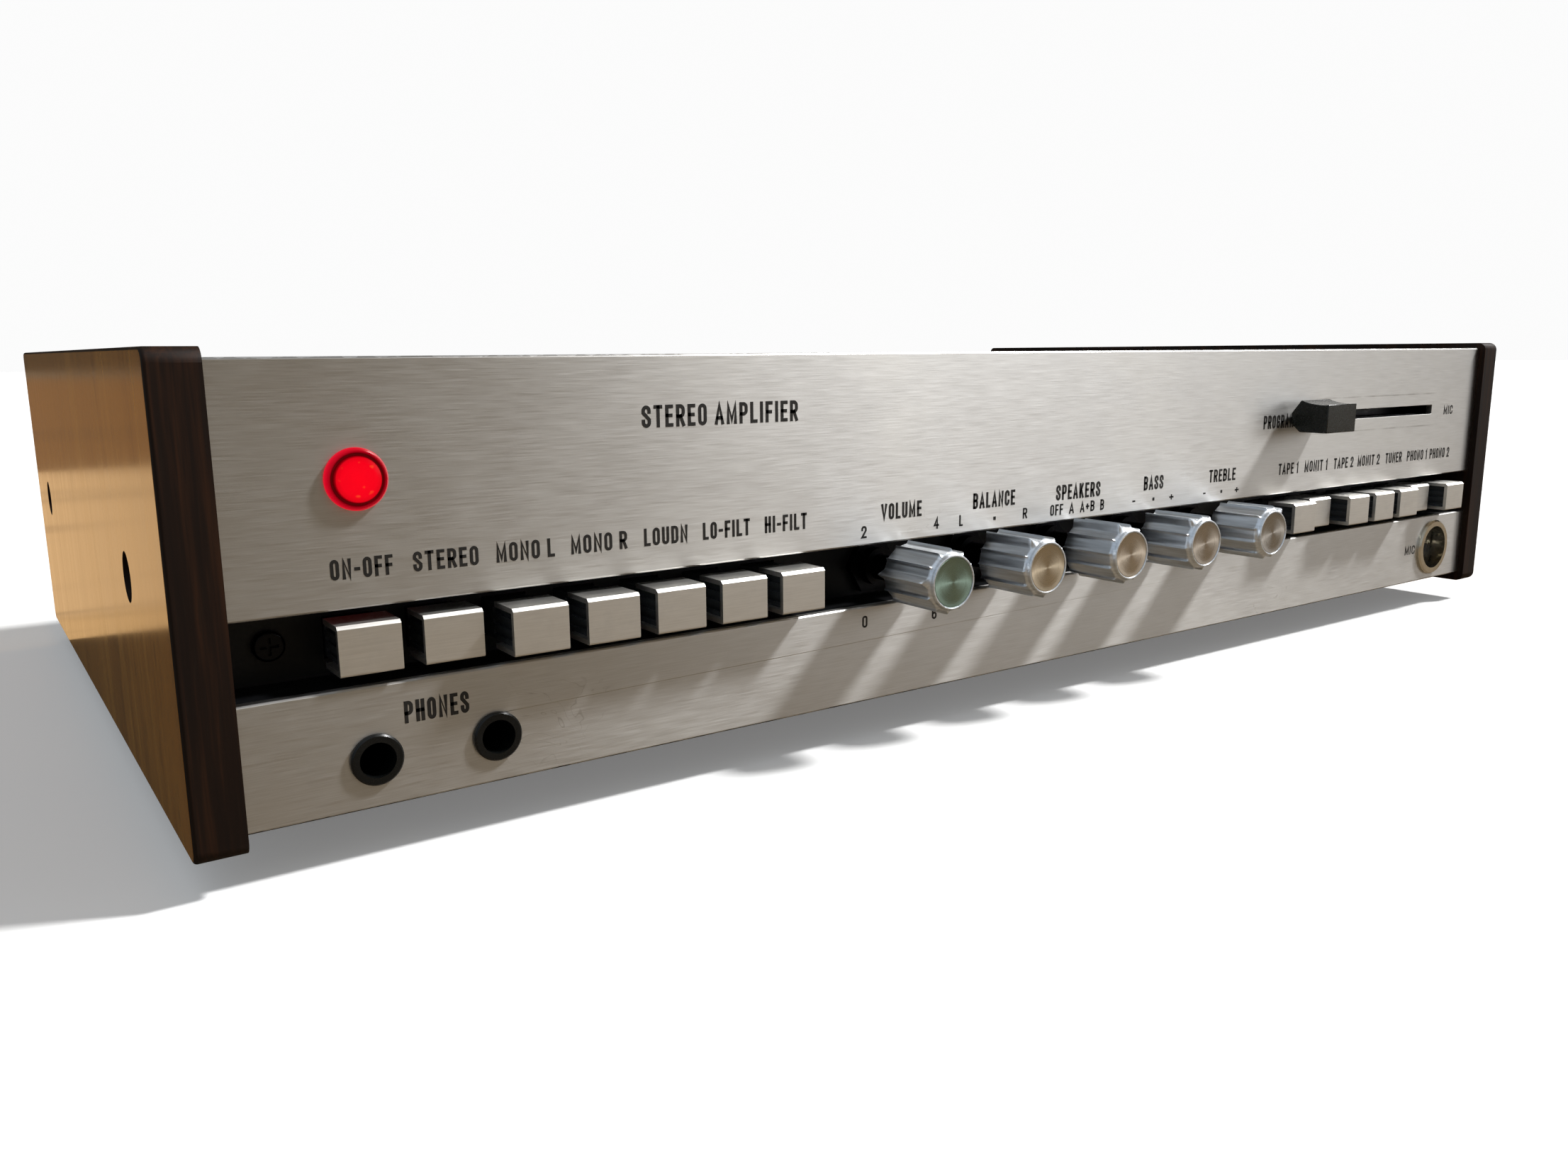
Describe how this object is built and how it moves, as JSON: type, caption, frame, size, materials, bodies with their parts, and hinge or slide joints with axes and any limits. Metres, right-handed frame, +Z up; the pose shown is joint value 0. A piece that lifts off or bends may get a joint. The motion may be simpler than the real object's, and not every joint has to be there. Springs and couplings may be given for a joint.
{
  "type": "integrated amplifier",
  "caption": "Low hi-fi amplifier with wooden end cheeks, brushed aluminium front, recessed channel of push keys and ribbed knobs, slide control, red lamp and front sockets.",
  "frame": {"origin": "middle of the footprint, on the surface that the rubber feet stand on", "axes": "+X along the front from the listener's left to right, +Y from the front into the cabinet, +Z up"},
  "size_m": [0.426, 0.264, 0.091],
  "materials": {
    "cheek_wood": "vertical grain, satin lacquer",
    "fascia_aluminium": "brushed along the front, satin",
    "channel_black": "matt black",
    "chassis_steel": "zinc plated, dull",
    "cover_black": "fine textured black",
    "rear_black": "matt black",
    "key_aluminium": "fine satin with bright edges",
    "key_plastic": "matt black",
    "knob_aluminium": "turned and ribbed, bright",
    "slider_plastic": "semi-gloss black",
    "lens_red": "clear red, lit from behind",
    "socket_plastic": "matt black",
    "nickel": "nickel plated",
    "screw_steel": "blackened or plated steel",
    "foot_rubber": "matt",
    "switch_plastic": "moulded",
    "control_metal": "plated",
    "transformer_iron": "varnished laminations",
    "board_green": "varnished board",
    "sink_black": "black anodised",
    "can_aluminium": "satin",
    "fuse_plastic": "black",
    "gland_plastic": "matt black"
  },
  "bodies": {
    "cabinet": {"left_cheek": "cheek_wood", "right_cheek": "cheek_wood", "upper_fascia": "fascia_aluminium", "lower_fascia": "fascia_aluminium", "control_channel": "channel_black", "chassis_tray": "chassis_steel", "top_cover": "cover_black", "rear_panel": "rear_black", "cheek_screws": "screw_steel", "panel_screws": "screw_steel", "rubber_feet": "foot_rubber", "key_switch_banks": "switch_plastic", "rotary_controls": "control_metal", "slide_potentiometer": "control_metal", "lamp_lens": "lens_red", "lamp_holder": "socket_plastic", "headphone_jacks": "socket_plastic", "mic_socket_ring": "nickel", "mic_socket_insert": "socket_plastic", "rear_sockets": "socket_plastic", "fuse_holders": "fuse_plastic", "mains_gland": "gland_plastic", "power_transformer": "transformer_iron", "circuit_board": "board_green", "heat_sink": "sink_black", "smoothing_capacitors": "can_aluminium"},
    "key_on_off": {"key_on_off_cap": "key_aluminium", "key_on_off_plunger": "key_plastic"},
    "key_stereo": {"key_stereo_cap": "key_aluminium", "key_stereo_plunger": "key_plastic"},
    "key_mono_left": {"key_mono_left_cap": "key_aluminium", "key_mono_left_plunger": "key_plastic"},
    "key_mono_right": {"key_mono_right_cap": "key_aluminium", "key_mono_right_plunger": "key_plastic"},
    "key_loudness": {"key_loudness_cap": "key_aluminium", "key_loudness_plunger": "key_plastic"},
    "key_low_filter": {"key_low_filter_cap": "key_aluminium", "key_low_filter_plunger": "key_plastic"},
    "key_high_filter": {"key_high_filter_cap": "key_aluminium", "key_high_filter_plunger": "key_plastic"},
    "key_tape_1": {"key_tape_1_cap": "key_aluminium", "key_tape_1_plunger": "key_plastic"},
    "key_monitor_1": {"key_monitor_1_cap": "key_aluminium", "key_monitor_1_plunger": "key_plastic"},
    "key_tape_2": {"key_tape_2_cap": "key_aluminium", "key_tape_2_plunger": "key_plastic"},
    "key_monitor_2": {"key_monitor_2_cap": "key_aluminium", "key_monitor_2_plunger": "key_plastic"},
    "key_tuner": {"key_tuner_cap": "key_aluminium", "key_tuner_plunger": "key_plastic"},
    "key_phono_1": {"key_phono_1_cap": "key_aluminium", "key_phono_1_plunger": "key_plastic"},
    "key_phono_2": {"key_phono_2_cap": "key_aluminium", "key_phono_2_plunger": "key_plastic"},
    "knob_volume": {"knob_volume": "knob_aluminium"},
    "knob_balance": {"knob_balance": "knob_aluminium"},
    "knob_speakers": {"knob_speakers": "knob_aluminium"},
    "knob_bass": {"knob_bass": "knob_aluminium"},
    "knob_treble": {"knob_treble": "knob_aluminium"},
    "slider": {"slider_knob": "slider_plastic"}
  },
  "joints": [
    {"name": "on_off_push", "type": "slide", "parent": "cabinet", "child": "key_on_off", "axis": [0, 1, 0], "range_m": [-0.0042, 0]},
    {"name": "stereo_push", "type": "slide", "parent": "cabinet", "child": "key_stereo", "axis": [0, 1, 0], "range_m": [-0.0042, 0]},
    {"name": "mono_left_push", "type": "slide", "parent": "cabinet", "child": "key_mono_left", "axis": [0, 1, 0], "range_m": [0, 0.0042]},
    {"name": "mono_right_push", "type": "slide", "parent": "cabinet", "child": "key_mono_right", "axis": [0, 1, 0], "range_m": [0, 0.0042]},
    {"name": "loudness_push", "type": "slide", "parent": "cabinet", "child": "key_loudness", "axis": [0, 1, 0], "range_m": [0, 0.0042]},
    {"name": "low_filter_push", "type": "slide", "parent": "cabinet", "child": "key_low_filter", "axis": [0, 1, 0], "range_m": [0, 0.0042]},
    {"name": "high_filter_push", "type": "slide", "parent": "cabinet", "child": "key_high_filter", "axis": [0, 1, 0], "range_m": [0, 0.0042]},
    {"name": "tape_1_push", "type": "slide", "parent": "cabinet", "child": "key_tape_1", "axis": [0, 1, 0], "range_m": [0, 0.0042]},
    {"name": "monitor_1_push", "type": "slide", "parent": "cabinet", "child": "key_monitor_1", "axis": [0, 1, 0], "range_m": [-0.0042, 0]},
    {"name": "tape_2_push", "type": "slide", "parent": "cabinet", "child": "key_tape_2", "axis": [0, 1, 0], "range_m": [0, 0.0042]},
    {"name": "monitor_2_push", "type": "slide", "parent": "cabinet", "child": "key_monitor_2", "axis": [0, 1, 0], "range_m": [0, 0.0042]},
    {"name": "tuner_push", "type": "slide", "parent": "cabinet", "child": "key_tuner", "axis": [0, 1, 0], "range_m": [0, 0.0042]},
    {"name": "phono_1_push", "type": "slide", "parent": "cabinet", "child": "key_phono_1", "axis": [0, 1, 0], "range_m": [-0.0042, 0]},
    {"name": "phono_2_push", "type": "slide", "parent": "cabinet", "child": "key_phono_2", "axis": [0, 1, 0], "range_m": [0, 0.0042]},
    {"name": "volume_turn", "type": "hinge", "parent": "cabinet", "child": "knob_volume", "pos_m": [-0.06, -0.114, 0.0395], "axis": [0, 1, 0], "range_deg": [-48, 222]},
    {"name": "balance_turn", "type": "hinge", "parent": "cabinet", "child": "knob_balance", "pos_m": [-0.03, -0.114, 0.0395], "axis": [0, 1, 0], "range_deg": [-102, 168]},
    {"name": "speakers_turn", "type": "hinge", "parent": "cabinet", "child": "knob_speakers", "pos_m": [0, -0.114, 0.0395], "axis": [0, 1, 0], "range_deg": [0, 90]},
    {"name": "bass_turn", "type": "hinge", "parent": "cabinet", "child": "knob_bass", "pos_m": [0.03, -0.114, 0.0395], "axis": [0, 1, 0], "range_deg": [-98, 172]},
    {"name": "treble_turn", "type": "hinge", "parent": "cabinet", "child": "knob_treble", "pos_m": [0.06, -0.114, 0.0395], "axis": [0, 1, 0], "range_deg": [-178, 92]},
    {"name": "mixer_slide", "type": "slide", "parent": "cabinet", "child": "slider", "axis": [1, 0, 0], "range_m": [0, 0.07]}
  ]
}
